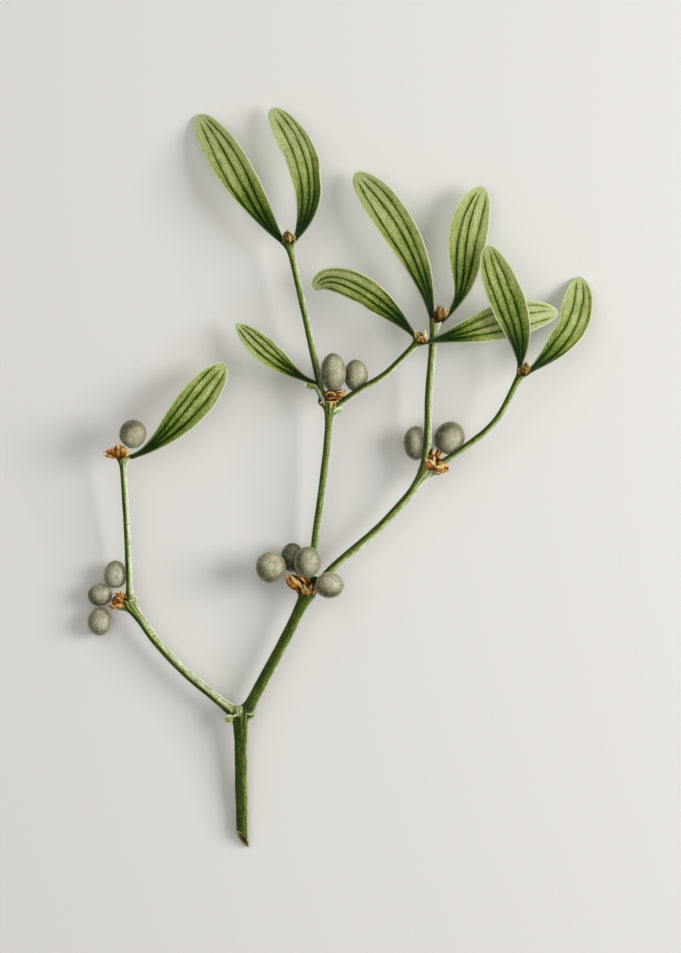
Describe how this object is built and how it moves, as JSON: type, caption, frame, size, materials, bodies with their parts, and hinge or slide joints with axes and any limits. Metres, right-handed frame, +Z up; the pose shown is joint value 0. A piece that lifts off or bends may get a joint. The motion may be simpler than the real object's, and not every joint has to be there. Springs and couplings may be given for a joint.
{
  "type": "mistletoe bunch",
  "caption": "Cut mistletoe sprig lying flat: forked, jointed stems with ribbed leathery leaves in pairs and pale round berries in dry bracts at the forks.",
  "frame": {"origin": "bottom centre of the bounding box, on the surface that the sprig lies on", "axes": "+Z up from the surface, +Y along the sprig from its cut end towards the leaf tips, +X to the right seen from above"},
  "size_m": [0.1521, 0.2228, 0.0188],
  "materials": {
    "stem_bark": "smooth olive-green young bark with fine lengthwise grooves, satin",
    "leaf_blade": "thick yellow-green leathery blade with darker parallel veins and paler margins, satin",
    "berry_skin": "waxy grey-white translucent skin with faint mottling, soft sheen",
    "dry_bract": "dry papery orange-brown scales, matt",
    "collar_scale": "pale green-cream collar of old bud scales, matt"
  },
  "bodies": {
    "root": {"main_stem": "stem_bark", "left_lower_branch": "stem_bark", "left_upper_twig": "stem_bark", "right_lower_branch": "stem_bark", "centre_stem": "stem_bark", "right_middle_branch": "stem_bark", "top_twig": "stem_bark", "upper_right_twig": "stem_bark", "upright_twig": "stem_bark", "far_right_twig": "stem_bark", "side_spur": "stem_bark", "top_leaf_left": "leaf_blade", "top_leaf_right": "leaf_blade", "upright_leaf_left": "leaf_blade", "upright_leaf_right": "leaf_blade", "inner_leaf_left": "leaf_blade", "inner_leaf_right": "leaf_blade", "far_leaf_left": "leaf_blade", "far_leaf_right": "leaf_blade", "spur_leaf": "leaf_blade", "left_leaf": "leaf_blade", "left_tip_berry": "berry_skin", "left_fork_berry_inner": "berry_skin", "left_fork_berry_middle": "berry_skin", "left_fork_berry_outer": "berry_skin", "centre_fork_berry_left": "berry_skin", "centre_fork_berry_back": "berry_skin", "centre_fork_berry_front": "berry_skin", "centre_fork_berry_right": "berry_skin", "upper_fork_berry_front": "berry_skin", "upper_fork_berry_back": "berry_skin", "right_fork_berry_left": "berry_skin", "right_fork_berry_right": "berry_skin", "left_fork_bracts": "dry_bract", "left_tip_bracts": "dry_bract", "centre_fork_bracts": "dry_bract", "upper_fork_bracts": "dry_bract", "right_fork_bracts": "dry_bract", "top_bud": "dry_bract", "inner_bud": "dry_bract", "upright_bud": "dry_bract", "far_bud": "dry_bract", "base_collar_left": "collar_scale", "base_collar_middle": "collar_scale", "base_collar_right": "collar_scale", "left_fork_collar": "collar_scale", "upper_fork_collar": "collar_scale", "spur_collar": "collar_scale"}
  },
  "joints": []
}
